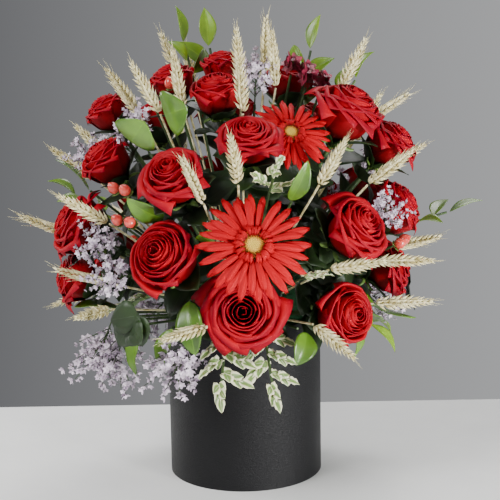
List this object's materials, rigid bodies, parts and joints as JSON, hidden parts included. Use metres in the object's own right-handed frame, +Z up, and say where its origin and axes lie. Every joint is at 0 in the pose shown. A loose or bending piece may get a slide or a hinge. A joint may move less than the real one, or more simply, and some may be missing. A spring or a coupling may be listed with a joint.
{
  "type": "flower box",
  "caption": "Round covered flower box with a lift-out liner of floral foam planted with roses, gerberas, wheat, berries and foliage.",
  "frame": {"origin": "centre of the round underside that the box stands on", "axes": "+Z up through the box's axis, -Y towards the front of the arrangement, +X to its right"},
  "size_m": [0.4917, 0.3978, 0.4873],
  "materials": {
    "rose_petal": "matte",
    "gerbera_petal": "matte",
    "wheat_straw": "matte",
    "green_stem": "matte",
    "ruscus_leaf": "satin",
    "broad_leaf": "satin",
    "variegated_leaf": "matte",
    "coral_berry": "gloss",
    "lilac_floret": "matte",
    "wax_petal": "matte",
    "cover_leatherette": "satin",
    "base_paper": "matte",
    "lining_paper": "matte",
    "greyboard": "matte",
    "liner_plastic": "matte",
    "floral_foam": "matte"
  },
  "bodies": {
    "box": {"box_tube": "greyboard", "box_cover": "cover_leatherette", "base_board": "greyboard", "base_cover": "base_paper", "inner_lining": "lining_paper"},
    "arrangement": {"filler_leaves": "broad_leaf", "floral_foam": "floral_foam", "flower_stems": "green_stem", "foliage_twigs": "green_stem", "gerbera_01": "gerbera_petal", "gerbera_02": "gerbera_petal", "gerbera_03": "gerbera_petal", "hypericum_back": "coral_berry", "hypericum_left": "coral_berry", "hypericum_right": "coral_berry", "laurel_leaves": "broad_leaf", "limonium_back": "lilac_floret", "limonium_left": "lilac_floret", "limonium_right": "lilac_floret", "liner_pot": "liner_plastic", "pittosporum_back": "variegated_leaf", "pittosporum_front": "variegated_leaf", "rose_01": "rose_petal", "rose_02": "rose_petal", "rose_03": "rose_petal", "rose_04": "rose_petal", "rose_05": "rose_petal", "rose_06": "rose_petal", "rose_07": "rose_petal", "rose_08": "rose_petal", "rose_09": "rose_petal", "rose_10": "rose_petal", "rose_11": "rose_petal", "rose_12": "rose_petal", "rose_13": "rose_petal", "rose_14": "rose_petal", "rose_15": "rose_petal", "rose_16": "rose_petal", "rose_17": "rose_petal", "rose_18": "rose_petal", "rose_19": "rose_petal", "rose_20": "rose_petal", "rose_21": "rose_petal", "rose_22": "rose_petal", "rose_23": "rose_petal", "rose_24": "rose_petal", "rose_25": "rose_petal", "rose_26": "rose_petal", "rose_27": "rose_petal", "rose_28": "rose_petal", "ruscus_back": "ruscus_leaf", "ruscus_left": "ruscus_leaf", "ruscus_right": "ruscus_leaf", "wax_flowers": "wax_petal", "wheat_back": "wheat_straw", "wheat_front": "wheat_straw", "wheat_left": "wheat_straw", "wheat_right": "wheat_straw", "wheat_stalks": "wheat_straw"}
  },
  "joints": [
    {"name": "arrangement_lift", "type": "slide", "parent": "box", "child": "arrangement", "axis": [0, 0, 1], "range_m": [0, 0.2]}
  ]
}
